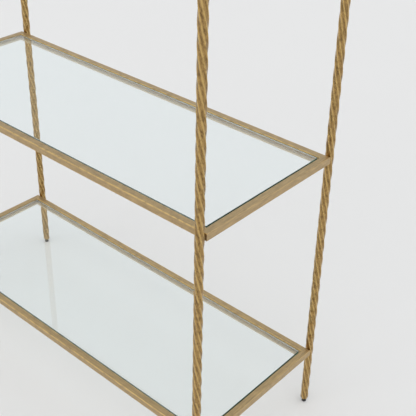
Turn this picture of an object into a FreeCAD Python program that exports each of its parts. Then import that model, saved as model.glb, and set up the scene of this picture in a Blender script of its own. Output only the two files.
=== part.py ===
import FreeCAD, Part
import math
import os
import Sketcher

# Etagere: four twisted six-sided posts carry four shelves.
# Each shelf is a mitred frame of square tube with an inner ledge, pads and a lift-out pane.
# Millimetres. X runs along the length, Y to the back, Z up. The origin is on the floor at the middle.

os.makedirs("parts", exist_ok=True)
doc = FreeCAD.newDocument("etagere")

sheet = doc.addObject("Spreadsheet::Sheet", "Sizes")

# Shelf frames
sheet.set("A1", "frame_length")
sheet.set("B1", "1000")
sheet.setAlias("B1", "frame_length")
sheet.set("A2", "frame_depth")
sheet.set("B2", "376")
sheet.setAlias("B2", "frame_depth")
sheet.set("A3", "shelf_height")
sheet.set("B3", "173")
sheet.setAlias("B3", "shelf_height")
sheet.set("A4", "shelf_pitch")
sheet.set("B4", "517")
sheet.setAlias("B4", "shelf_pitch")
sheet.set("A5", "shelf_count")
sheet.set("B5", "4")
sheet.setAlias("B5", "shelf_count")
sheet.set("A6", "rail_size")
sheet.set("B6", "16")
sheet.setAlias("B6", "rail_size")
sheet.set("A7", "rail_wall")
sheet.set("B7", "1.5")
sheet.setAlias("B7", "rail_wall")
sheet.set("A8", "rail_corner")
sheet.set("B8", "1.8")
sheet.setAlias("B8", "rail_corner")
sheet.set("A9", "ledge_width")
sheet.set("B9", "8.5")
sheet.setAlias("B9", "ledge_width")
sheet.set("A10", "ledge_thick")
sheet.set("B10", "3")
sheet.setAlias("B10", "ledge_thick")

# Panes and the pads under them
sheet.set("A11", "glass_thick")
sheet.set("B11", "6")
sheet.setAlias("B11", "glass_thick")
sheet.set("A12", "glass_gap")
sheet.set("B12", "3")
sheet.setAlias("B12", "glass_gap")
sheet.set("A13", "glass_recess")
sheet.set("B13", "1")
sheet.setAlias("B13", "glass_recess")
sheet.set("A14", "glass_arris")
sheet.set("B14", "0.8")
sheet.setAlias("B14", "glass_arris")
sheet.set("A15", "pad_height")
sheet.set("B15", "6")
sheet.setAlias("B15", "pad_height")
sheet.set("A16", "pad_margin")
sheet.set("B16", "0.3")
sheet.setAlias("B16", "pad_margin")
sheet.set("A17", "pad_taper")
sheet.set("B17", "0.8")
sheet.setAlias("B17", "pad_taper")
sheet.set("A18", "pad_inset")
sheet.set("B18", "60")
sheet.setAlias("B18", "pad_inset")

# Posts
sheet.set("A19", "hex_flats")
sheet.set("B19", "16")
sheet.setAlias("B19", "hex_flats")
sheet.set("A20", "ridges_per_bay")
sheet.set("B20", "14")
sheet.setAlias("B20", "ridges_per_bay")
sheet.set("A21", "post_rise")
sheet.set("B21", "12")
sheet.setAlias("B21", "post_rise")
sheet.set("A22", "post_chamfer")
sheet.set("B22", "1.2")
sheet.setAlias("B22", "post_chamfer")

# Feet
sheet.set("A23", "glide_height")
sheet.set("B23", "11")
sheet.setAlias("B23", "glide_height")
sheet.set("A24", "glide_diameter")
sheet.set("B24", "11")
sheet.setAlias("B24", "glide_diameter")
sheet.set("A25", "glide_round")
sheet.set("B25", "1.6")
sheet.setAlias("B25", "glide_round")
sheet.set("A26", "glide_floor")
sheet.set("B26", "2")
sheet.setAlias("B26", "glide_floor")
sheet.set("A27", "stud_diameter")
sheet.set("B27", "6")
sheet.setAlias("B27", "stud_diameter")
sheet.set("A28", "stud_length")
sheet.set("B28", "20")
sheet.setAlias("B28", "stud_length")
sheet.set("A29", "stud_play")
sheet.set("B29", "0.1")
sheet.setAlias("B29", "stud_play")
sheet.set("A30", "stud_relief")
sheet.set("B30", "2")
sheet.setAlias("B30", "stud_relief")
sheet.set("A31", "stud_chamfer")
sheet.set("B31", "0.8")
sheet.setAlias("B31", "stud_chamfer")
doc.recompute()


def now(name):
    return float(sheet.get(name))


# Lengths that follow from the sizes
TOP_SHELF = "(Sizes.shelf_height + (Sizes.shelf_count - 1) * Sizes.shelf_pitch)"
CORNER = "Sizes.hex_flats / sqrt(3)"
POST_X = "(Sizes.frame_length / 2 - %s)" % CORNER
POST_Y = "(Sizes.frame_depth / 2 + %s)" % CORNER
POST_LENGTH = "(%s + Sizes.post_rise - Sizes.glide_height)" % TOP_SHELF
TWIST_PITCH = "(6 * Sizes.shelf_pitch / Sizes.ridges_per_bay)"
RAIL_MIDDLE = "(Sizes.shelf_height - Sizes.rail_size / 2 - Sizes.glide_height)"
PANE_DROP = "(Sizes.glass_recess + Sizes.glass_thick)"
LEDGE_DROP = "(%s + Sizes.pad_height + Sizes.ledge_thick)" % PANE_DROP
PAD_RADIUS = "((Sizes.ledge_width - Sizes.glass_gap) / 2 - Sizes.pad_margin)"
corner = now("hex_flats") / math.sqrt(3)
top_shelf = now("shelf_height") + (now("shelf_count") - 1) * now("shelf_pitch")
post_length = top_shelf + now("post_rise") - now("glide_height")


def origin_part(body, role):
    for item in body.Origin.OriginFeatures:
        if item.Role == role:
            return item
    raise RuntimeError("origin has no " + role)


def new_body(label):
    body = doc.addObject("PartDesign::Body", label)
    body.Label = label
    return body


def new_sketch(body, name, plane):
    sketch = body.newObject("Sketcher::SketchObject", name)
    sketch.AttachmentSupport = [(origin_part(body, plane), "")]
    sketch.MapMode = "FlatFace"
    return sketch


def place(item, x, y, z, turn=0):
    # Puts a piece at a point given by expressions, turned about the vertical by a number of degrees.
    item.Placement = FreeCAD.Placement(FreeCAD.Vector(), FreeCAD.Rotation(FreeCAD.Vector(0, 0, 1), turn))
    item.setExpression("Placement.Base.x", x)
    item.setExpression("Placement.Base.y", y)
    item.setExpression("Placement.Base.z", z)


def fix_number(sketch, constraint, expression):
    index = sketch.addConstraint(constraint)
    sketch.setExpression("Constraints[%d]" % index, expression)


def fix_point(sketch, line, end, guess, across, up):
    # Holds one end of a line at signed distances from the sketch origin.
    for kind, number, text in (("DistanceX", guess[0], across), ("DistanceY", guess[1], up)):
        if number < 0:
            fix_number(sketch, Sketcher.Constraint(kind, line, end, -1, 1, -number), "-(%s)" % text)
        else:
            fix_number(sketch, Sketcher.Constraint(kind, -1, 1, line, end, number), text)


def segment(a, b):
    return Part.LineSegment(FreeCAD.Vector(a[0], a[1], 0), FreeCAD.Vector(b[0], b[1], 0))


def polygon(sketch, corners):
    # Closed outline. Each corner is a first guess (x, y) and the two expressions that fix it.
    first = sketch.GeometryCount
    count = len(corners)
    for i in range(count):
        a = corners[i][0]
        b = corners[(i + 1) % count][0]
        sketch.addGeometry(segment(a, b), False)
    for i in range(count):
        sketch.addConstraint(Sketcher.Constraint("Coincident", first + i, 2, first + (i + 1) % count, 1))
    for i in range(count):
        guess, across, up = corners[i]
        fix_point(sketch, first + i, 1, guess, across, up)


def rounded_square(sketch, side, radius, side_text, radius_text):
    # Square outline with round corners in the positive quarter, one corner of its box at the origin.
    r = radius
    s = side
    ends = [((r, 0), (s - r, 0)), ((s, r), (s, s - r)), ((s - r, s), (r, s)), ((0, s - r), (0, r))]
    centres = [(s - r, r), (s - r, s - r), (r, s - r), (r, r)]
    for i in range(4):
        a, b = ends[i]
        sketch.addGeometry(segment(a, b), False)
        circle = Part.Circle(FreeCAD.Vector(centres[i][0], centres[i][1], 0), FreeCAD.Vector(0, 0, 1), r)
        begin = math.radians(90 * i - 90)
        sketch.addGeometry(Part.ArcOfCircle(circle, begin, begin + math.pi / 2), False)
    for i in range(4):
        sketch.addConstraint(Sketcher.Constraint("Tangent", 2 * i, 2, 2 * i + 1, 1))
        sketch.addConstraint(Sketcher.Constraint("Tangent", 2 * i + 1, 2, (2 * i + 2) % 8, 1))
    for line, kind in ((0, "Horizontal"), (2, "Vertical"), (4, "Horizontal"), (6, "Vertical")):
        sketch.addConstraint(Sketcher.Constraint(kind, line))
    for arc in (3, 5, 7):
        sketch.addConstraint(Sketcher.Constraint("Equal", 1, arc))
    sketch.addConstraint(Sketcher.Constraint("PointOnObject", 0, 1, -1))
    sketch.addConstraint(Sketcher.Constraint("PointOnObject", 6, 1, -2))
    fix_number(sketch, Sketcher.Constraint("Radius", 1, r), radius_text)
    fix_number(sketch, Sketcher.Constraint("DistanceX", -1, 1, 2, 1, s), side_text)
    fix_number(sketch, Sketcher.Constraint("DistanceY", -1, 1, 4, 1, s), side_text)


def pad(body, sketch, name, length, symmetric=False):
    feature = body.newObject("PartDesign::Pad", name)
    feature.Profile = sketch
    if symmetric:
        feature.SideType = "Symmetric"
    feature.setExpression("Length", length)
    return feature


def break_edges(body, base, kind, name, size_name, size_text, levels):
    # Chamfers or rounds the edges that lie flat at one of the levels.
    names = []
    for i, edge in enumerate(base.Shape.Edges):
        box = edge.BoundBox
        flat = box.ZLength < 1e-4 and any(abs(box.ZMin - level) < 1e-4 for level in levels)
        if flat:
            names.append("Edge%d" % (i + 1))
    feature = body.newObject("PartDesign::" + kind, name)
    feature.Base = (base, names)
    feature.setExpression(size_name, size_text)
    return feature


# Posts

# Left-hand helix that turns the outline of a post as it runs up. It stands at each post's own origin.
twist = doc.addObject("Part::Helix", "post_twist")
twist.LocalCoord = "Left-handed"
twist.setExpression("Pitch", TWIST_PITCH)
twist.setExpression("Height", POST_LENGTH)
twist.setExpression("Radius", "Sizes.hex_flats")
doc.recompute()


def twisted_post(label, side_x, side_y):
    # Six-sided bar with a left-hand twist. Its ridges meet the rails at mid height of every shelf.
    x_text = "%d * %s" % (side_x, POST_X)
    y_text = "%d * %s" % (side_y, POST_Y)
    body = new_body(label)
    place(body, x_text, y_text, "Sizes.glide_height")

    outline = new_sketch(body, label + "_outline", "XY_Plane")
    twist_pitch = 6 * now("shelf_pitch") / now("ridges_per_bay")
    middle = now("shelf_height") - now("rail_size") / 2 - now("glide_height")
    turn = (90 + 360 * middle / twist_pitch) % 60 + 60
    points = []
    for i in range(6):
        angle = math.radians(turn + 60 * i)
        points.append(FreeCAD.Vector(corner * math.cos(angle), corner * math.sin(angle), 0))
    for i in range(6):
        outline.addGeometry(Part.LineSegment(points[i], points[(i + 1) % 6]), False)
    outline.addGeometry(Part.Circle(FreeCAD.Vector(), FreeCAD.Vector(0, 0, 1), corner), True)
    outline.addGeometry(Part.LineSegment(FreeCAD.Vector(), points[0]), True)
    outline.addConstraint(Sketcher.Constraint("Coincident", 6, 3, -1, 1))
    outline.addConstraint(Sketcher.Constraint("Coincident", 7, 1, -1, 1))
    outline.addConstraint(Sketcher.Constraint("Coincident", 7, 2, 0, 1))
    for i in range(6):
        outline.addConstraint(Sketcher.Constraint("Coincident", i, 2, (i + 1) % 6, 1))
    for i in range(6):
        outline.addConstraint(Sketcher.Constraint("PointOnObject", i, 1, 6))
    for i in range(1, 6):
        outline.addConstraint(Sketcher.Constraint("Equal", 0, i))
    fix_number(outline, Sketcher.Constraint("Radius", 6, corner), CORNER)
    turn_text = "(mod(90 + 360 * %s / %s; 60) + 60) * 1 deg" % (RAIL_MIDDLE, TWIST_PITCH)
    fix_number(outline, Sketcher.Constraint("Angle", 7, math.radians(turn)), turn_text)

    spine = new_sketch(body, label + "_spine", "XZ_Plane")
    spine.addGeometry(Part.LineSegment(FreeCAD.Vector(), FreeCAD.Vector(0, post_length, 0)), False)
    spine.addConstraint(Sketcher.Constraint("Coincident", 0, 1, -1, 1))
    spine.addConstraint(Sketcher.Constraint("PointOnObject", 0, 2, -2))
    fix_number(spine, Sketcher.Constraint("DistanceY", -1, 1, 0, 2, post_length), POST_LENGTH)

    doc.recompute()

    bar = body.newObject("PartDesign::AdditivePipe", label + "_bar")
    bar.Profile = outline
    bar.Spine = (spine, ["Edge1"])
    bar.Mode = "Auxiliary"
    bar.AuxiliarySpine = (twist, ["Edge1"])
    bar.AuxiliaryCurvilinear = True
    doc.recompute()

    c = now("post_chamfer")
    dress = new_sketch(body, label + "_ends", "XZ_Plane")
    inside = CORNER + " - 2 * Sizes.post_chamfer"
    outside = CORNER + " + Sizes.post_chamfer"
    above = POST_LENGTH + " + Sizes.post_chamfer"
    below = POST_LENGTH + " - 2 * Sizes.post_chamfer"
    polygon(dress, [
        ((corner - 2 * c, post_length + c), inside, above),
        ((corner + c, post_length + c), outside, above),
        ((corner + c, post_length - 2 * c), outside, below),
    ])
    polygon(dress, [
        ((corner - 2 * c, -c), inside, "-Sizes.post_chamfer"),
        ((corner + c, -c), outside, "-Sizes.post_chamfer"),
        ((corner + c, 2 * c), outside, "2 * Sizes.post_chamfer"),
    ])
    ends = body.newObject("PartDesign::Groove", label + "_dressed")
    ends.Profile = dress
    ends.ReferenceAxis = (origin_part(body, "Z_Axis"), [""])
    ends.Angle = 360
    doc.recompute()

    bore = new_sketch(body, label + "_bore", "XY_Plane")
    radius = now("stud_diameter") / 2 + now("stud_play")
    bore.addGeometry(Part.Circle(FreeCAD.Vector(), FreeCAD.Vector(0, 0, 1), radius), False)
    bore.addConstraint(Sketcher.Constraint("Coincident", 0, 3, -1, 1))
    fix_number(bore, Sketcher.Constraint("Radius", 0, radius), "Sizes.stud_diameter / 2 + Sizes.stud_play")
    hole = body.newObject("PartDesign::Pocket", label + "_stud_hole")
    hole.Profile = bore
    hole.Reversed = True
    hole.setExpression("Length", "Sizes.stud_length + Sizes.stud_relief")
    doc.recompute()
    return body


# Shelf frames


def rail(label, run, run_text, x, y, z, turn):
    # Square tube, mitred at both ends. Its outer face is the local plane y = 0.
    body = new_body(label)
    place(body, x, y, z, turn)
    s = now("rail_size")
    w = now("rail_wall")
    section = new_sketch(body, label + "_section", "YZ_Plane")
    rounded_square(section, s, now("rail_corner"), "Sizes.rail_size", "Sizes.rail_corner")
    near = "Sizes.rail_wall"
    far = "Sizes.rail_size - Sizes.rail_wall"
    polygon(section, [
        ((w, w), near, near),
        ((s - w, w), far, near),
        ((s - w, s - w), far, far),
        ((w, s - w), near, far),
    ])
    pad(body, section, label + "_tube", run_text, True)
    doc.recompute()

    mitre = new_sketch(body, label + "_mitre", "XY_Plane")
    tip = "%s / 2 + Sizes.rail_size / 2" % run_text
    heel = "%s / 2 - 1.5 * Sizes.rail_size" % run_text
    front = "-Sizes.rail_size / 2"
    back = "1.5 * Sizes.rail_size"
    polygon(mitre, [
        ((run / 2 + s / 2, -s / 2), tip, front),
        ((run / 2 + s / 2, 1.5 * s), tip, back),
        ((run / 2 - 1.5 * s, 1.5 * s), heel, back),
    ])
    polygon(mitre, [
        ((-run / 2 - s / 2, -s / 2), "-(%s)" % tip, front),
        ((-run / 2 - s / 2, 1.5 * s), "-(%s)" % tip, back),
        ((-run / 2 + 1.5 * s, 1.5 * s), "-(%s)" % heel, back),
    ])
    cut = body.newObject("PartDesign::Pocket", label + "_mitre_cut")
    cut.Profile = mitre
    cut.SideType = "Symmetric"
    cut.setExpression("Length", "4 * Sizes.rail_size")
    doc.recompute()
    return body


def ledge(label, run, run_text, x, y, z, turn):
    # Flat strip along the inner face of its rail, mitred where it meets the next strip.
    body = new_body(label)
    place(body, x, y, z, turn)
    s = now("rail_size")
    w = now("ledge_width")
    outline = new_sketch(body, label + "_outline", "XY_Plane")
    long_half = "(%s / 2 - Sizes.rail_size)" % run_text
    short_half = "(%s / 2 - Sizes.rail_size - Sizes.ledge_width)" % run_text
    near = "Sizes.rail_size"
    far = "Sizes.rail_size + Sizes.ledge_width"
    polygon(outline, [
        ((-run / 2 + s, s), "-" + long_half, near),
        ((run / 2 - s, s), long_half, near),
        ((run / 2 - s - w, s + w), short_half, far),
        ((-run / 2 + s + w, s + w), "-" + short_half, far),
    ])
    pad(body, outline, label + "_strip", "Sizes.ledge_thick")
    doc.recompute()
    return body


def pane(label, z):
    # Clear sheet that drops into the frame, with its sharp edges broken.
    body = new_body(label)
    place(body, "0", "0", z)
    half_x = now("frame_length") / 2 - now("rail_size") - now("glass_gap")
    half_y = now("frame_depth") / 2 - now("rail_size") - now("glass_gap")
    across = "(Sizes.frame_length / 2 - Sizes.rail_size - Sizes.glass_gap)"
    deep = "(Sizes.frame_depth / 2 - Sizes.rail_size - Sizes.glass_gap)"
    outline = new_sketch(body, label + "_outline", "XY_Plane")
    polygon(outline, [
        ((-half_x, -half_y), "-" + across, "-" + deep),
        ((half_x, -half_y), across, "-" + deep),
        ((half_x, half_y), across, deep),
        ((-half_x, half_y), "-" + across, deep),
    ])
    sheet_pad = pad(body, outline, label + "_sheet", "Sizes.glass_thick")
    doc.recompute()
    levels = (sheet_pad.Shape.BoundBox.ZMin, sheet_pad.Shape.BoundBox.ZMax)
    break_edges(body, sheet_pad, "Chamfer", label + "_arris", "Size", "Sizes.glass_arris", levels)
    doc.recompute()
    return body


def pads(label, z):
    # Six clear buttons on the long ledges, under the pane.
    buttons = []
    for side_y in (-1, 1):
        for side_x in (-1, 0, 1):
            button = doc.addObject("Part::Cone", "%s_%d" % (label, len(buttons) + 1))
            button.setExpression("Radius1", PAD_RADIUS)
            button.setExpression("Radius2", PAD_RADIUS + " * Sizes.pad_taper")
            button.setExpression("Height", "Sizes.pad_height")
            x = "%d * (Sizes.frame_length / 2 - Sizes.rail_size - Sizes.pad_inset)" % side_x
            inward = "(Sizes.rail_size + (Sizes.glass_gap + Sizes.ledge_width) / 2)"
            y = "%d * (Sizes.frame_depth / 2 - %s)" % (side_y, inward)
            place(button, x, y, z)
            buttons.append(button)
    group = doc.addObject("Part::Compound", label)
    group.Label = label
    group.Links = buttons
    doc.recompute()
    return group


# Feet


def glide(label, x, y):
    # Round black tip with a socket for its stud.
    body = new_body(label)
    place(body, x, y, "0")
    r = now("glide_diameter") / 2
    t = now("glide_height")
    f = now("glide_floor")
    b = now("stud_diameter") / 2
    profile = new_sketch(body, label + "_profile", "XZ_Plane")
    radius = "Sizes.glide_diameter / 2"
    socket = "Sizes.stud_diameter / 2"
    polygon(profile, [
        ((0, 0), "0", "0"),
        ((r, 0), radius, "0"),
        ((r, t), radius, "Sizes.glide_height"),
        ((b, t), socket, "Sizes.glide_height"),
        ((b, f), socket, "Sizes.glide_floor"),
        ((0, f), "0", "Sizes.glide_floor"),
    ])
    turned = body.newObject("PartDesign::Revolution", label + "_turned")
    turned.Profile = profile
    turned.ReferenceAxis = (origin_part(body, "Z_Axis"), [""])
    turned.Angle = 360
    doc.recompute()
    break_edges(body, turned, "Fillet", label + "_round", "Radius", "Sizes.glide_round", (0.0,))
    doc.recompute()
    return body


def stud(label, x, y):
    # Steel pin between the glide's socket and the hole in the post.
    body = new_body(label)
    place(body, x, y, "Sizes.glide_floor")
    radius = now("stud_diameter") / 2
    outline = new_sketch(body, label + "_outline", "XY_Plane")
    outline.addGeometry(Part.Circle(FreeCAD.Vector(), FreeCAD.Vector(0, 0, 1), radius), False)
    outline.addConstraint(Sketcher.Constraint("Coincident", 0, 3, -1, 1))
    fix_number(outline, Sketcher.Constraint("Radius", 0, radius), "Sizes.stud_diameter / 2")
    shank = pad(body, outline, label + "_shank", "Sizes.glide_height - Sizes.glide_floor + Sizes.stud_length")
    doc.recompute()
    levels = (shank.Shape.BoundBox.ZMax,)
    break_edges(body, shank, "Chamfer", label + "_tip", "Size", "Sizes.stud_chamfer", levels)
    doc.recompute()
    return body


pieces = []
for end_y, side_y in (("front", -1), ("back", 1)):
    for end_x, side_x in (("left", -1), ("right", 1)):
        corner_name = "%s_%s" % (end_y, end_x)
        x_text = "%d * %s" % (side_x, POST_X)
        y_text = "%d * %s" % (side_y, POST_Y)
        pieces.append(twisted_post("post_" + corner_name, side_x, side_y))
        pieces.append(glide("glide_" + corner_name, x_text, y_text))
        pieces.append(stud("stud_" + corner_name, x_text, y_text))

for level in range(round(now("shelf_count"))):
    shelf = "shelf_%d_" % (level + 1)
    top = "Sizes.shelf_height + %d * Sizes.shelf_pitch" % level
    underside = top + " - Sizes.rail_size"
    shelf_bottom = "%s - %s" % (top, LEDGE_DROP)
    half_length = "Sizes.frame_length / 2"
    half_depth = "Sizes.frame_depth / 2"
    sides = (
        ("front", "frame_length", "0", "-" + half_depth, 0),
        ("back", "frame_length", "0", half_depth, 180),
        ("left", "frame_depth", "-" + half_length, "0", -90),
        ("right", "frame_depth", half_length, "0", 90),
    )
    for side, run_name, x_text, y_text, turn in sides:
        run = now(run_name)
        run_text = "Sizes." + run_name
        pieces.append(rail(shelf + side + "_rail", run, run_text, x_text, y_text, underside, turn))
        pieces.append(ledge(shelf + side + "_ledge", run, run_text, x_text, y_text, shelf_bottom, turn))
    pieces.append(pads(shelf + "pads", shelf_bottom + " + Sizes.ledge_thick"))
    pieces.append(pane(shelf + "glass", "%s - %s" % (top, PANE_DROP)))

doc.recompute()

for item in doc.Objects:
    if "Invalid" in item.State or "Error" in item.State:
        raise RuntimeError(item.Label + " failed: " + ", ".join(item.State))

for piece in pieces:
    shape = piece.Shape
    if shape.isNull() or not shape.isValid() or shape.Volume <= 0:
        raise RuntimeError(piece.Label + " has no sound shape")
    shape.exportStep("parts/" + piece.Label + ".step")
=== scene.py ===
import math

import bpy
from mathutils import Matrix, Vector


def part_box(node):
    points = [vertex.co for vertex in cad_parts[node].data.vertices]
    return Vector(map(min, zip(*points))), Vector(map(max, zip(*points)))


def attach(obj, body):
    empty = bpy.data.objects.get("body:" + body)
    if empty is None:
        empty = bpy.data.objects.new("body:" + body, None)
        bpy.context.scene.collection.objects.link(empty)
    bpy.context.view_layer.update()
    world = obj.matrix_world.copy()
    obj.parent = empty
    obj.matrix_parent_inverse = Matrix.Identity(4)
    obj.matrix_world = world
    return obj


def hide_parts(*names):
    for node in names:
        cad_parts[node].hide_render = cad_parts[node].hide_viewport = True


# Looks of a tall open etagere: twisted six-sided posts, square-tube shelf frames, clear lift-out panes.
# Everything is in metres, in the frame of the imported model.

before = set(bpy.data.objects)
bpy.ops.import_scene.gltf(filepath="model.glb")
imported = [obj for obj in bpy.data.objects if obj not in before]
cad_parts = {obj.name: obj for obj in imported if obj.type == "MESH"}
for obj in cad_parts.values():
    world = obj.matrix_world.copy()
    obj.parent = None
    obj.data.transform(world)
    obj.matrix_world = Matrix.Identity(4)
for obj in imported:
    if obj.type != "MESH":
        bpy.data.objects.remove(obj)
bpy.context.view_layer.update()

MM = 0.001
CORNERS = ("front_left", "front_right", "back_left", "back_right")
SIDES = ("front", "back", "left", "right")
LONG_SIDES = ("front", "back")
SHELVES = (1, 2, 3, 4)

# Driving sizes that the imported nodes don't tell by their boxes, and fine edges.
# A value without MM is a count, an angle, or a share of another size.
RIDGES_PER_BAY = 14
POST_SIDES = 6
POST_CHAMFER = 1.2 * MM
POST_BREAK = 0.25 * MM
RIDGE_ROUND = 0.4 * MM
POST_RING_STEP = 4 * MM
STUD_HOLE = 3.1 * MM
STUD_RELIEF = 2 * MM
TUBE_WALL = 1.5 * MM
TUBE_CORNER = 1.8 * MM
HOLLOW_CORNER = 0.3 * MM
CORNER_HOLD = 0.35
LEDGE_EDGE = 0.5 * MM
GLASS_ARRIS = 0.8 * MM
GLASS_CORNER = 1.5 * MM
GLASS_HOLD = 1.3 * MM
GLIDE_ROUND = 1.6 * MM
GLIDE_BREAK = 0.4 * MM
GLIDE_SOLE = 0.55
PARTING_HEIGHT = 0.62
PARTING_DEPTH = 0.15 * MM
SOCKET_BREAK = 0.2 * MM
PAD_ROUND = 0.7 * MM
PAD_CROWN = 0.8
PAD_INSET = 0.2 * MM
PAD_RIM = 0.25 * MM
PAD_SPOTS = (424 * MM, 166.25 * MM)
THREAD_PITCH = 1.0 * MM
THREAD_DEPTH = 0.45 * MM
FLANK_SLOPE = 1.35
FLANK_FLAT = 0.15
SHANK_HOLD = 0.1 * MM
STUD_POINT = 0.8 * MM
SHARP_ANGLE = math.radians(35)

# Points around the turned pieces, and rows in one turn of a thread
PAD_SEGMENTS = 24
GLIDE_SEGMENTS = 48
STUD_SEGMENTS = 32
THREAD_ROWS = 8

# Finish of the metal, as shares from 0 to 1: rubbed ridges and corners that also carry a painted
# highlight, stronger on the long rails
RIDGE_FADE = 0.25
CORNER_FADE = 0.4
# Share of rubbed colour on tube corners, rubbed metal plus a painted highlight; the long rails get more
# highlight than the short ones
LONG_RAIL_RUB_AND_HIGHLIGHT = 0.75
SHORT_RAIL_RUB_AND_HIGHLIGHT = 0.2

# Finish of the panes, with a faint diffuse layer that stands in for reflection haze
EDGE_GROUND = 0.35
REFLECTION_FILM_SHARE = 0.035
GLASS_IOR = 1.5
GLASS_DENSITY = 6.0

# Lamps, world and floor
WARM = (1.0, 0.985, 0.965)
COOL = (0.92, 0.98, 1.0)
WORLD_COLOUR = (0.53, 0.545, 0.56)
FLOOR_HALF = 30.0
FLOOR_STEPS = 12

# Camera of the photograph: angles in degrees, lens and sensor in mm
CAMERA_AZIMUTH = 41.0346
CAMERA_ELEVATION = 30.8767
CAMERA_ROLL = 1.2440
CAMERA_PLACE = (1.30363, -1.11189, 1.53468)
CAMERA_LENS = 73.9587
CAMERA_SENSOR = 36.0
CAMERA_SHIFT = -0.07


# Meshes

def make_piece(name, points, faces, grain=None, **shares):
    """A smooth-shaded mesh object.

    The third value of grain runs along a bar. Each of the shares goes from 0 to 1 at every point.
    """
    mesh = bpy.data.meshes.new(name)
    mesh.from_pydata(points, [], faces)
    mesh.validate()
    for polygon in mesh.polygons:
        polygon.use_smooth = True
    mesh.set_sharp_from_angle(angle=SHARP_ANGLE)
    if grain:
        layer = mesh.attributes.new("grain", "FLOAT_VECTOR", "POINT")
        layer.data.foreach_set("vector", [value for point in grain for value in point])
    for label, values in shares.items():
        layer = mesh.attributes.new(label, "FLOAT", "POINT")
        layer.data.foreach_set("value", values)
    mesh.update()
    piece = bpy.data.objects.new(name, mesh)
    bpy.context.scene.collection.objects.link(piece)
    return piece


def dress(piece, node, body, material):
    """The piece stands for a CAD node, moves with its body and takes the given material."""
    piece.data.materials.append(material)
    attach(piece, body)
    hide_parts(node)


def bridge(first, second, count):
    """Faces between two closed rings of count points that start at these indices."""
    faces = []
    for i in range(count):
        j = (i + 1) % count
        faces.append((first + i, first + j, second + j, second + i))
    return faces


def around(centre, radius, turn, level):
    """A point at this distance and angle from a vertical axis."""
    return (centre[0] + radius * math.cos(turn), centre[1] + radius * math.sin(turn), level)


def lathe(profile, centre, segments, points, faces):
    """Turns an open (radius, height) profile, bottom to top, about a vertical axis and caps both ends."""
    start = len(points)
    for radius, height in profile:
        for k in range(segments):
            turn = 2 * math.pi * k / segments
            points.append(around(centre, radius, turn, height))
    for row in range(len(profile) - 1):
        faces.extend(bridge(start + row * segments, start + (row + 1) * segments, segments))
    faces.append(tuple(start + k for k in reversed(range(segments))))
    last = start + (len(profile) - 1) * segments
    faces.append(tuple(last + k for k in range(segments)))


def quarter(centre_r, centre_z, radius, start, end, steps):
    """Points of a round stretch of a profile or outline, angles in degrees."""
    made = []
    for k in range(steps + 1):
        angle = math.radians(start + (end - start) * k / steps)
        made.append((centre_r + radius * math.cos(angle), centre_z + radius * math.sin(angle)))
    return made


def heading(degrees):
    """Direction in the plane of a section."""
    return Vector((math.cos(math.radians(degrees)), math.sin(math.radians(degrees))))


# Twisted posts

def hexagon_profile(flat_half, round_radius):
    """Section of the bar as (x, y, wear) points, ridge 0 on +X, with rounded ridges, rubbed and painted
    with a highlight.
    """
    arc_steps = 4
    # How far across a flat, and the share of rubbed colour there: worn metal with a painted highlight
    # beside each ridge, none mid-flat
    flat_rub_and_highlight_stops = ((0.12, 0.72), (0.32, 0.3), (0.5, 0.0), (0.68, 0.1), (0.88, 0.6))
    half_turn = math.pi / POST_SIDES
    arc_centre = (flat_half - round_radius) / math.cos(half_turn)
    ridges = []
    for side in range(POST_SIDES):
        ridge = 2 * half_turn * side
        centre = Vector((arc_centre * math.cos(ridge), arc_centre * math.sin(ridge)))
        arc = []
        for k in range(arc_steps + 1):
            angle = ridge + half_turn * (2 * k / arc_steps - 1)
            arc.append(centre + round_radius * Vector((math.cos(angle), math.sin(angle))))
        ridges.append(arc)
    profile = []
    for side in range(POST_SIDES):
        for k, spot in enumerate(ridges[side]):
            profile.append((spot.x, spot.y, 1.0 - RIDGE_FADE * abs(2 * k / arc_steps - 1)))
        begin = ridges[side][-1]
        end = ridges[(side + 1) % POST_SIDES][0]
        for share, rub_and_highlight in flat_rub_and_highlight_stops:
            spot = begin.lerp(end, share)
            profile.append((spot.x, spot.y, rub_and_highlight))
    return profile


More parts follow.
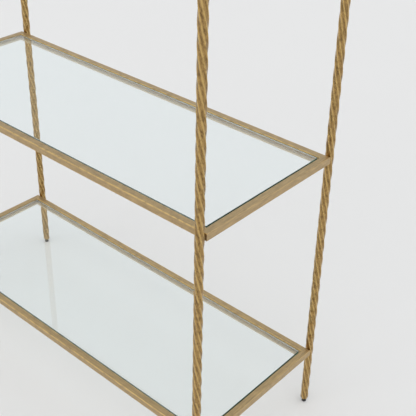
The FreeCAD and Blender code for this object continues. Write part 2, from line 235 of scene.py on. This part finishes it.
def twisted_post(corner):
    """Twisted bar with chamfered ends, a ridge at the middle of each frame and a hole for its stud."""
    node = "post_" + corner
    low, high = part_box(node)
    centre = ((low.x + high.x) / 2, (low.y + high.y) / 2)
    reach = (high.x - low.x) / 2
    flat_half = reach * math.cos(math.pi / POST_SIDES)
    first_low, first_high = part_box("shelf_1_front_rail")
    second_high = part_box("shelf_2_front_rail")[1]
    pitch = POST_SIDES * (second_high.z - first_high.z) / RIDGES_PER_BAY
    ridge_level = (first_low.z + first_high.z) / 2
    profile = hexagon_profile(flat_half, RIDGE_ROUND)
    count = len(profile)

    end_steps = (0.0, POST_BREAK, 0.35 * POST_CHAMFER, 0.65 * POST_CHAMFER, POST_CHAMFER)
    inner = low.z + POST_CHAMFER
    outer = high.z - POST_CHAMFER
    rings = math.ceil((outer - inner) / POST_RING_STEP)
    levels = [low.z + step for step in end_steps]
    levels += [inner + (outer - inner) * k / rings for k in range(1, rings)]
    levels += [high.z - step for step in reversed(end_steps)]

    points = []
    faces = []
    grain = []
    wear = []
    for level in levels:
        from_end = min(level - low.z, high.z - level)
        limit = reach - POST_CHAMFER + from_end - max(0.0, POST_BREAK - from_end)
        twist = math.pi / 2 - 2 * math.pi * (level - ridge_level) / pitch
        for x, y, rub_and_highlight in profile:
            radius = min(math.hypot(x, y), limit)
            angle = math.atan2(y, x) + twist
            points.append(around(centre, radius, angle, level))
            grain.append((x + centre[0], y + centre[1], level))
            wear.append(rub_and_highlight)
    for row in range(len(levels) - 1):
        faces.extend(bridge(row * count, (row + 1) * count, count))
    top = (len(levels) - 1) * count
    faces.append(tuple(top + k for k in range(count)))

    hole_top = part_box("stud_" + corner)[1].z + STUD_RELIEF
    hole = len(points)
    for level in (low.z, hole_top):
        for k in range(count):
            x, y, _ = points[k]
            angle = math.atan2(y - centre[1], x - centre[0])
            points.append(around(centre, STUD_HOLE, angle, level))
            grain.append((x, y, level))
            wear.append(0.0)
    faces.extend(bridge(hole, 0, count))
    faces.extend(bridge(hole + count, hole, count))
    faces.append(tuple(hole + count + k for k in reversed(range(count))))
    return make_piece("twisted_" + node, points, faces, grain, wear=wear, burnish=[1.0] * len(points))


# Shelf frames

def bar_section(width, height, radius):
    """Closed section of a bar with rubbed corners that carry a painted highlight, as (inward, up, wear)
    points from its outer foot.
    """
    arc_steps = 5
    hold = CORNER_HOLD * radius
    corners = (((radius, radius), 180), ((width - radius, radius), 270),
               ((width - radius, height - radius), 0), ((radius, height - radius), 90))
    section = []
    for (centre_in, centre_up), start in corners:
        arc = quarter(centre_in, centre_up, radius, start, start + 90, arc_steps)
        before = Vector(arc[0]) - hold * heading(start + 90)
        after = Vector(arc[-1]) + hold * heading(start + 180)
        section.append((before.x, before.y, 0.0))
        for k, (inward, up) in enumerate(arc):
            section.append((inward, up, 1.0 - CORNER_FADE * abs(2 * k / arc_steps - 1)))
        section.append((after.x, after.y, 0.0))
    return section


def mitred_bar(name, node, width, height, radius, wall=0.0, matte=0.0, rub_and_highlight_share=1.0):
    """A bar of one side of a shelf frame, with ends cut at 45 degrees, hollow if it has a wall."""
    low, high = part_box(node)
    side = node.split("_")[2]
    along = Vector((1, 0, 0)) if side in LONG_SIDES else Vector((0, 1, 0))
    outward = {"front": Vector((0, -1, 0)), "back": Vector((0, 1, 0)),
               "left": Vector((-1, 0, 0)), "right": Vector((1, 0, 0))}[side]
    centre = (low + high) / 2
    half_length = (high - low).dot(along) / 2
    across_half = (high - low).dot(outward * outward.dot(Vector((1, 1, 0)))) / 2
    origin = Vector((centre.x, centre.y, low.z)) + outward * across_half
    flip = along.cross(Vector((0, 0, 1))).dot(outward) < 0

    sections = [bar_section(width, height, radius)]
    if wall:
        hollow = bar_section(width - 2 * wall, height - 2 * wall, max(radius - wall, HOLLOW_CORNER))
        sections.append([(inward + wall, up + wall, 0.0) for inward, up, _ in hollow])

    points = []
    faces = []
    grain = []
    wear = []
    for section in sections:
        for end in (-1, 1):
            for inward, up, rub_and_highlight in section:
                reach = end * (half_length - inward)
                spot = origin + along * reach - outward * inward + Vector((0, 0, up))
                points.append(spot)
                grain.append((inward + centre.y, up + low.z, reach))
                wear.append(rub_and_highlight_share * rub_and_highlight)
    count = len(sections[0])
    faces.extend(bridge(0, count, count))
    if wall:
        faces.extend(bridge(3 * count, 2 * count, count))
        faces.extend(bridge(2 * count, 0, count))
        faces.extend(bridge(count, 3 * count, count))
    else:
        faces.append(tuple(reversed(range(count))))
        faces.append(tuple(count + k for k in range(count)))
    if flip:
        faces = [tuple(reversed(face)) for face in faces]
    return make_piece(name, points, faces, grain, wear=wear, matte=[matte] * len(points))


# Panes

def pane(name, node):
    """Clear sheet with a rounded outline, ground long edges and painted dark green shade on the short
    ends, as rings going up.
    """
    low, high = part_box(node)
    corner_steps = 5
    edge_steps = 3
    edge = [(GLASS_HOLD, low.z)]
    edge += quarter(GLASS_ARRIS, low.z + GLASS_ARRIS, -GLASS_ARRIS, 90, 0, edge_steps)
    edge += quarter(GLASS_ARRIS, high.z - GLASS_ARRIS, -GLASS_ARRIS, 0, -90, edge_steps)
    edge.append((GLASS_HOLD, high.z))
    points = []
    faces = []
    ground = []
    deep = []
    corner_signs = ((-1, -1, 180), (1, -1, 270), (1, 1, 0), (-1, 1, 90))
    for inset, level in edge:
        on_upright = inset < 0.01 * GLASS_ARRIS
        on_edge = inset < 0.99 * GLASS_ARRIS
        for sign_x, sign_y, start in corner_signs:
            corner_x = (high.x - GLASS_CORNER) * sign_x
            corner_y = (high.y - GLASS_CORNER) * sign_y
            arc = quarter(corner_x, corner_y, GLASS_CORNER - inset, start, start + 90, corner_steps)
            for k, (x, y) in enumerate(arc):
                points.append((x, y, level))
                # 1 on the two short ends, 0 on the long edges; on the ends it carries the painted dark
                # green shade
                endwise = math.cos(math.radians(start + 90 * k / corner_steps)) ** 2
                ground.append(EDGE_GROUND * (1 - endwise) if on_upright else 0.0)
                deep.append(endwise if on_edge else 0.0)
    count = 4 * (corner_steps + 1)
    for row in range(len(edge) - 1):
        faces.extend(bridge(row * count, (row + 1) * count, count))
    faces.append(tuple(reversed(range(count))))
    faces.append(tuple((len(edge) - 1) * count + k for k in range(count)))
    return make_piece(name, points, faces, ground=ground, deep=deep)


def pads(name, node, spots):
    """Small clear bumpers on the ledges, domed at the rim."""
    low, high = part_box(node)
    foot = (high.y - low.y) / 2 - spots[1]
    points = []
    faces = []
    crown = foot * PAD_CROWN
    profile = [(foot - PAD_INSET, low.z), (foot, low.z + PAD_RIM)]
    profile += quarter(crown - PAD_ROUND, high.z - PAD_ROUND, PAD_ROUND, 10, 90, 5)
    for x in (-spots[0], 0.0, spots[0]):
        for y in (-spots[1], spots[1]):
            lathe(profile, (x, y), PAD_SEGMENTS, points, faces)
    return make_piece(name, points, faces)


# Feet

def glide(name, node, stud):
    """Moulded foot with a rolled bottom edge, a fine parting step and a socket for its stud."""
    low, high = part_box(node)
    centre = (low + high) / 2
    radius = (high.x - low.x) / 2
    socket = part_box(stud)
    hole = (socket[1].x - socket[0].x) / 2
    profile = [(GLIDE_SOLE * radius, low.z)]
    profile += quarter(radius - GLIDE_ROUND, low.z + GLIDE_ROUND, GLIDE_ROUND, -90, 0, 8)
    step = low.z + PARTING_HEIGHT * (high.z - low.z)
    groove = radius - PARTING_DEPTH
    profile += [(radius, step), (groove, step + 0.1 * MM)]
    profile += [(groove, step + 0.3 * MM), (radius, step + 0.4 * MM)]
    profile += quarter(radius - GLIDE_BREAK, high.z - GLIDE_BREAK, GLIDE_BREAK, 0, 90, 3)
    profile += [(hole + SOCKET_BREAK, high.z), (hole, high.z - SOCKET_BREAK), (hole, socket[0].z)]
    points = []
    faces = []
    lathe(profile, (centre.x, centre.y), GLIDE_SEGMENTS, points, faces)
    return make_piece(name, points, faces)


def threaded_stud(name, node, glide_node):
    """Levelling stud with a plain shank in its glide and a helical thread above."""
    low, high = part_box(node)
    centre = (low + high) / 2
    radius = (high.x - low.x) / 2
    shank_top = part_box(glide_node)[1].z
    segments = STUD_SEGMENTS
    rows = math.ceil((high.z - shank_top) / THREAD_PITCH * THREAD_ROWS)
    levels = [low.z, low.z + SHANK_HOLD]
    levels += [shank_top + (high.z - shank_top) * k / rows for k in range(rows + 1)]
    points = []
    faces = []
    for level in levels:
        for k in range(segments):
            turn = 2 * math.pi * k / segments
            depth = 0.0
            if level > shank_top:
                phase = (level / THREAD_PITCH - k / segments) % 1.0
                flank = min(1.0, max(0.0, FLANK_SLOPE * abs(2 * phase - 1) - FLANK_FLAT))
                depth = THREAD_DEPTH * (1 - flank) * min(1.0, (level - shank_top) / THREAD_PITCH)
            limit = radius - max(0.0, STUD_POINT - (high.z - level))
            reach = min(radius - depth, limit)
            points.append(around(centre, reach, turn, level))
    for row in range(len(levels) - 1):
        faces.extend(bridge(row * segments, (row + 1) * segments, segments))
    faces.append(tuple(reversed(range(segments))))
    faces.append(tuple((len(levels) - 1) * segments + k for k in range(segments)))
    return make_piece(name, points, faces)


# Materials

class Nodes:
    """Short calls for a material's node tree."""

    def __init__(self, name):
        self.material = bpy.data.materials.new(name)
        self.material.use_nodes = True
        self.tree = self.material.node_tree
        self.tree.nodes.clear()
        self.out = self.add("ShaderNodeOutputMaterial")
        self.shader = self.add("ShaderNodeBsdfPrincipled")
        self.link(self.shader.outputs["BSDF"], self.out.inputs["Surface"])

    def add(self, kind, **values):
        node = self.tree.nodes.new(kind)
        for key, value in values.items():
            setattr(node, key, value)
        return node

    def link(self, source, target):
        self.tree.links.new(source, target)

    def put(self, socket, value):
        """Sets a socket to a constant, or links it to another node's output."""
        if isinstance(value, bpy.types.NodeSocket):
            self.link(value, socket)
        else:
            socket.default_value = value

    def attribute(self, name, output):
        return self.add("ShaderNodeAttribute", attribute_name=name).outputs[output]

    def place(self):
        return self.add("ShaderNodeTexCoord").outputs["Object"]

    def stretch(self, vector, scale):
        node = self.add("ShaderNodeMapping")
        self.link(vector, node.inputs["Vector"])
        node.inputs["Scale"].default_value = scale
        return node.outputs["Vector"]

    def noise(self, vector, scale, detail, roughness):
        node = self.add("ShaderNodeTexNoise")
        self.link(vector, node.inputs["Vector"])
        node.inputs["Scale"].default_value = scale
        node.inputs["Detail"].default_value = detail
        node.inputs["Roughness"].default_value = roughness
        return node.outputs["Fac"]

    def remap(self, value, low, high, to_low=0.0, to_high=1.0):
        node = self.add("ShaderNodeMapRange")
        node.interpolation_type = "SMOOTHSTEP"
        self.put(node.inputs["Value"], value)
        node.inputs["From Min"].default_value = low
        node.inputs["From Max"].default_value = high
        node.inputs["To Min"].default_value = to_low
        node.inputs["To Max"].default_value = to_high
        return node.outputs["Result"]

    def math(self, operation, first, second):
        node = self.add("ShaderNodeMath", operation=operation)
        self.put(node.inputs[0], first)
        self.put(node.inputs[1], second)
        return node.outputs["Value"]

    def blend(self, factor, first, second):
        node = self.add("ShaderNodeMix", data_type="RGBA")
        self.put(node.inputs["Factor"], factor)
        self.put(node.inputs["A"], first)
        self.put(node.inputs["B"], second)
        return node.outputs["Result"]

    def bump(self, height, strength, distance):
        node = self.add("ShaderNodeBump")
        self.link(height, node.inputs["Height"])
        node.inputs["Strength"].default_value = strength
        node.inputs["Distance"].default_value = distance
        self.link(node.outputs["Normal"], self.shader.inputs["Normal"])


def rgba(red, green, blue):
    return (red, green, blue, 1.0)


def antique_gold():
    """Hand-rubbed gold: mottled patina, fine strokes along each bar, and rubbed edges made bright with a
    painted highlight.

    Posts are burnished, with broad bright bands beside their ridges: rubbed metal plus painted highlight.
    Ledges are less metallic and paler; their paler colour is painted light that lifts the shade under the
    panes.
    """
    n = Nodes("antique_gold")
    place = n.place()
    grain = n.attribute("grain", "Vector")
    strokes = n.noise(n.stretch(grain, (1.0, 1.0, 0.05)), 1400.0, 3.0, 0.6)
    streaks = n.noise(n.stretch(grain, (1.0, 1.0, 0.08)), 420.0, 3.0, 0.6)
    brush = n.noise(n.stretch(grain, (1.0, 1.0, 0.03)), 900.0, 3.0, 0.6)
    hammer = n.noise(n.stretch(grain, (1.0, 1.0, 0.4)), 300.0, 3.0, 0.6)
    mottle = n.noise(place, 90.0, 4.0, 0.6)
    pits = n.noise(place, 900.0, 2.0, 0.5)
    wear = n.attribute("wear", "Fac")
    burnish = n.attribute("burnish", "Fac")
    matte = n.attribute("matte", "Fac")

    dark = n.blend(burnish, rgba(0.30, 0.212, 0.118), rgba(0.148, 0.085, 0.031))
    pale = n.blend(burnish, rgba(0.495, 0.341, 0.166), rgba(0.385, 0.238, 0.085))
    # Rubbed gold, also the colour of the painted highlight on ridges, flanks and tube corners
    rubbed = n.blend(burnish, rgba(0.76, 0.55, 0.22), rgba(0.60, 0.402, 0.147))
    pitted = rgba(0.14, 0.095, 0.042)
    dull_painted_light = rgba(0.59, 0.46, 0.30)
    worn = n.math("ADD", n.math("MULTIPLY", mottle, 0.2), n.math("MULTIPLY", brush, 0.8))
    beaten = n.math("ADD", n.math("MULTIPLY", hammer, 0.75), n.math("MULTIPLY", streaks, 0.25))
    tone = n.blend(burnish, n.remap(worn, 0.40, 0.60), n.remap(beaten, 0.37, 0.60))
    colour = n.blend(tone, dark, pale)
    colour = n.blend(n.remap(strokes, 0.35, 0.62, 0.0, 0.18), colour, rubbed)
    colour = n.blend(n.remap(pits, 0.62, 0.74, 0.0, 0.4), colour, pitted)
    # Painted highlight with real rubbed metal: the mask from the mesh turns ridges, flanks and tube
    # corners to the rubbed gold
    rub_and_highlight = n.math("MULTIPLY", wear, n.remap(mottle, 0.30, 0.58, 0.45, 1.0))
    colour = n.blend(n.remap(rub_and_highlight, 0.15, 0.85), colour, rubbed)
    # Painted light on the ledges: a paler, greyer colour lifts their shade under the panes
    dulled_painted_light = n.math("MULTIPLY", matte, n.remap(mottle, 0.3, 0.7, 0.7, 0.95))
    colour = n.blend(dulled_painted_light, colour, dull_painted_light)
    n.put(n.shader.inputs["Base Color"], colour)
    metal = n.math("SUBTRACT", n.remap(burnish, 0.0, 1.0, 0.72, 0.92), n.math("MULTIPLY", matte, 0.5))
    n.put(n.shader.inputs["Metallic"], metal)
    polish = n.math("MULTIPLY", rub_and_highlight, n.remap(burnish, 0.0, 1.0, -0.2, 0.08))
    rough = n.math("SUBTRACT", n.remap(mottle, 0.3, 0.7, 0.44, 0.34), polish)
    rough = n.math("SUBTRACT", rough, n.math("MULTIPLY", burnish, 0.08))
    n.put(n.shader.inputs["Roughness"], rough)
    n.shader.inputs["Coat Weight"].default_value = 0.15
    n.shader.inputs["Coat Roughness"].default_value = 0.3
    height = n.math("ADD", n.math("MULTIPLY", strokes, 0.6), n.math("MULTIPLY", pits, 0.4))
    n.bump(height, 0.25, 0.15 * MM)
    return n.material


def clear_glass():
    """Float glass with a green body, ground long edges, painted dark green shade on the short ends, and a
    faint bluish diffuse haze that stands in for reflection.

    Light falls straight through it on other things.
    """
    n = Nodes("clear_glass")
    ground = n.attribute("ground", "Fac")
    deep = n.attribute("deep", "Fac")
    smudge = n.noise(n.place(), 9.0, 4.0, 0.6)
    clear = rgba(1.0, 1.0, 1.0)
    ground_green = rgba(0.2, 0.65, 0.47)
    # Painted shade: the short ends turn dark green, standing in for light lost along the length of the
    # pane
    end_shade_green = rgba(0.06, 0.2, 0.12)
    tint = n.blend(ground, clear, ground_green)
    n.put(n.shader.inputs["Base Color"], n.blend(deep, tint, end_shade_green))
    n.put(n.shader.inputs["Transmission Weight"], n.remap(ground, 0.0, 1.0, 1.0, 0.35))
    n.shader.inputs["IOR"].default_value = GLASS_IOR
    n.put(n.shader.inputs["Roughness"],
          n.math("MAXIMUM", n.remap(smudge, 0.5, 0.8, 0.0, 0.03), n.math("MULTIPLY", ground, 0.45)))
    # Painted reflection: a faint bluish diffuse layer stands in for reflection haze on the pane
    reflection_film = n.add("ShaderNodeBsdfDiffuse")
    reflection_film.inputs["Color"].default_value = rgba(0.8, 0.92, 0.98)
    with_reflection_film = n.add("ShaderNodeMixShader")
    n.put(with_reflection_film.inputs[0], n.remap(deep, 0.0, 1.0, REFLECTION_FILM_SHARE, 0.0))
    n.link(n.shader.outputs["BSDF"], with_reflection_film.inputs[1])
    n.link(reflection_film.outputs["BSDF"], with_reflection_film.inputs[2])
    through = n.add("ShaderNodeBsdfTransparent")
    through.inputs["Color"].default_value = clear
    path = n.add("ShaderNodeLightPath")
    lighting = n.math("MAXIMUM", path.outputs["Is Shadow Ray"], path.outputs["Is Diffuse Ray"])
    mix = n.add("ShaderNodeMixShader")
    n.link(lighting, mix.inputs[0])
    n.link(with_reflection_film.outputs["Shader"], mix.inputs[1])
    n.link(through.outputs["BSDF"], mix.inputs[2])
    n.link(mix.outputs["Shader"], n.out.inputs["Surface"])
    body = n.add("ShaderNodeVolumeAbsorption")
    body.inputs["Color"].default_value = rgba(0.2, 0.84, 0.74)
    body.inputs["Density"].default_value = GLASS_DENSITY
    n.link(body.outputs["Volume"], n.out.inputs["Volume"])
    return n.material


def clear_pad():
    """Soft clear bumper, slightly clouded."""
    n = Nodes("clear_pad")
    cloud = n.noise(n.place(), 700.0, 3.0, 0.6)
    n.put(n.shader.inputs["Base Color"], n.blend(cloud, rgba(0.62, 0.56, 0.46), rgba(0.72, 0.67, 0.57)))
    n.put(n.shader.inputs["Roughness"], n.remap(cloud, 0.3, 0.7, 0.45, 0.6))
    n.shader.inputs["Specular IOR Level"].default_value = 0.2
    n.shader.inputs["Alpha"].default_value = 0.14
    n.bump(cloud, 0.15, 0.05 * MM)
    return n.material


def black_glide():
    """Moulded black plastic with a fine spark texture and scuffs."""
    n = Nodes("black_glide")
    place = n.place()
    spark = n.noise(place, 2600.0, 2.0, 0.6)
    scuff = n.noise(place, 400.0, 4.0, 0.65)
    rubbed = n.remap(scuff, 0.5, 0.75, 0.0, 0.6)
    colour = n.blend(rubbed, rgba(0.012, 0.012, 0.012), rgba(0.05, 0.05, 0.048))
    n.put(n.shader.inputs["Base Color"], colour)
    n.put(n.shader.inputs["Roughness"], n.remap(scuff, 0.3, 0.7, 0.35, 0.55))
    n.bump(spark, 0.3, 0.05 * MM)
    return n.material


def plated_steel():
    """Zinc-plated steel with a faint mottle."""
    n = Nodes("plated_steel")
    mottle = n.noise(n.place(), 500.0, 4.0, 0.6)
    n.put(n.shader.inputs["Base Color"], n.blend(mottle, rgba(0.42, 0.42, 0.43), rgba(0.66, 0.66, 0.67)))
    n.shader.inputs["Metallic"].default_value = 1.0
    n.put(n.shader.inputs["Roughness"], n.remap(mottle, 0.3, 0.7, 0.24, 0.4))
    n.bump(mottle, 0.1, 0.03 * MM)
    return n.material


def pale_floor():
    """Smooth pale studio floor."""
    n = Nodes("pale_floor")
    soft = n.noise(n.place(), 1.3, 3.0, 0.5)
    colour = n.blend(soft, rgba(0.825, 0.811, 0.803), rgba(0.839, 0.825, 0.817))
    n.put(n.shader.inputs["Base Color"], colour)
    n.shader.inputs["Roughness"].default_value = 0.7
    n.shader.inputs["Specular IOR Level"].default_value = 0.2
    return n.material


# Assembly

def build_object():
    """Makes every piece and sets it on its node and body, with its material."""
    gold = antique_gold()
    glass = clear_glass()
    soft = clear_pad()
    black = black_glide()
    steel = plated_steel()
    for corner in CORNERS:
        foot = "foot_" + corner
        dress(twisted_post(corner), "post_" + corner, "frame", gold)
        dress(glide("moulded_glide_" + corner, "glide_" + corner, "stud_" + corner),
              "glide_" + corner, foot, black)
        dress(threaded_stud("threaded_stud_" + corner, "stud_" + corner, "glide_" + corner),
              "stud_" + corner, foot, steel)
    for shelf in SHELVES:
        for side in SIDES:
            label = "shelf_%d_%s" % (shelf, side)
            low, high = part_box(label + "_rail")
            size = high.z - low.z
            # Long rails carry a stronger painted corner highlight than the short ones
            rub_and_highlight_share = LONG_RAIL_RUB_AND_HIGHLIGHT if side in LONG_SIDES else SHORT_RAIL_RUB_AND_HIGHLIGHT
            tube = mitred_bar(label + "_tube", label + "_rail", size, size, TUBE_CORNER, TUBE_WALL,
                              rub_and_highlight_share=rub_and_highlight_share)
            dress(tube, label + "_rail", "frame", gold)
            low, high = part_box(label + "_ledge")
            width = min(high.x - low.x, high.y - low.y)
            height = high.z - low.z
            # Ledges take the paler, less metallic finish; its paler colour is painted light
            strip = mitred_bar(label + "_strip", label + "_ledge", width, height, LEDGE_EDGE, matte=1.0)
            dress(strip, label + "_ledge", "frame", gold)
        label = "shelf_%d" % shelf
        dress(pads(label + "_bumpers", label + "_pads", PAD_SPOTS),
              label + "_pads", "frame", soft)
        dress(pane(label + "_pane", label + "_glass"),
              label + "_glass", "pane_%d" % shelf, glass)


# Stage, light and camera

def build_floor():
    """A wide pale floor, far past the edges of the view."""
    half = FLOOR_HALF
    steps = FLOOR_STEPS
    points = []
    faces = []
    for row in range(steps + 1):
        for column in range(steps + 1):
            points.append((half * (2 * column / steps - 1), half * (2 * row / steps - 1), 0.0))
    for row in range(steps):
        for column in range(steps):
            first = row * (steps + 1) + column
            faces.append((first, first + 1, first + steps + 2, first + steps + 1))
    floor = make_piece("studio_floor", points, faces)
    floor.data.materials.append(pale_floor())


def soft_sun(name, azimuth, elevation, energy, spread, colour):
    """A wide soft light from far away. Azimuth 0 stands in front of the object, 90 at its right."""
    lamp = bpy.data.lights.new(name, "SUN")
    lamp.energy = energy
    lamp.angle = math.radians(spread)
    lamp.color = colour
    holder = bpy.data.objects.new(name, lamp)
    bpy.context.scene.collection.objects.link(holder)
    turn = math.radians(azimuth)
    rise = math.radians(elevation)
    towards = Vector((math.sin(turn) * math.cos(rise), -math.cos(turn) * math.cos(rise), math.sin(rise)))
    holder.rotation_mode = "QUATERNION"
    holder.rotation_quaternion = towards.to_track_quat("Z", "Y")


def build_light():
    """Even pale surroundings and five wide lamps."""
    world = bpy.data.worlds.new("studio")
    bpy.context.scene.world = world
    world.use_nodes = True
    background = world.node_tree.nodes["Background"]
    background.inputs["Color"].default_value = rgba(*WORLD_COLOUR)
    background.inputs["Strength"].default_value = 1.0
    soft_sun("key_light", 85.0, 48.0, 0.25, 100.0, WARM)
    soft_sun("front_light", 20.0, 16.0, 1.4, 105.0, WARM)
    soft_sun("left_light", 320.0, 25.0, 0.35, 90.0, WARM)
    soft_sun("right_light", 130.0, 20.0, 1.05, 105.0, COOL)
    soft_sun("back_light", 221.0, 34.0, 0.2, 55.0, COOL)


def build_camera():
    """Viewpoint of the photograph, from a camera fitted to the lines of the two lower shelves."""
    azimuth = math.radians(CAMERA_AZIMUTH)
    elevation = math.radians(CAMERA_ELEVATION)
    roll = math.radians(CAMERA_ROLL)
    back = Vector((math.sin(azimuth) * math.cos(elevation), -math.cos(azimuth) * math.cos(elevation),
                   math.sin(elevation)))
    level_right = Vector((math.cos(azimuth), math.sin(azimuth), 0.0))
    level_up = back.cross(level_right)
    right = math.cos(roll) * level_right + math.sin(roll) * level_up
    up = math.cos(roll) * level_up - math.sin(roll) * level_right
    lens = bpy.data.cameras.new("photo_camera")
    lens.lens = CAMERA_LENS
    lens.sensor_width = CAMERA_SENSOR
    lens.shift_y = CAMERA_SHIFT
    lens.clip_start = 0.05
    lens.clip_end = 200.0
    camera = bpy.data.objects.new("photo_camera", lens)
    bpy.context.scene.collection.objects.link(camera)
    turn = Matrix((right, up, back)).transposed().to_4x4()
    camera.matrix_world = Matrix.Translation(CAMERA_PLACE) @ turn
    bpy.context.scene.camera = camera


build_object()
build_floor()
build_light()
build_camera()
bpy.context.scene.view_settings.view_transform = "Standard"
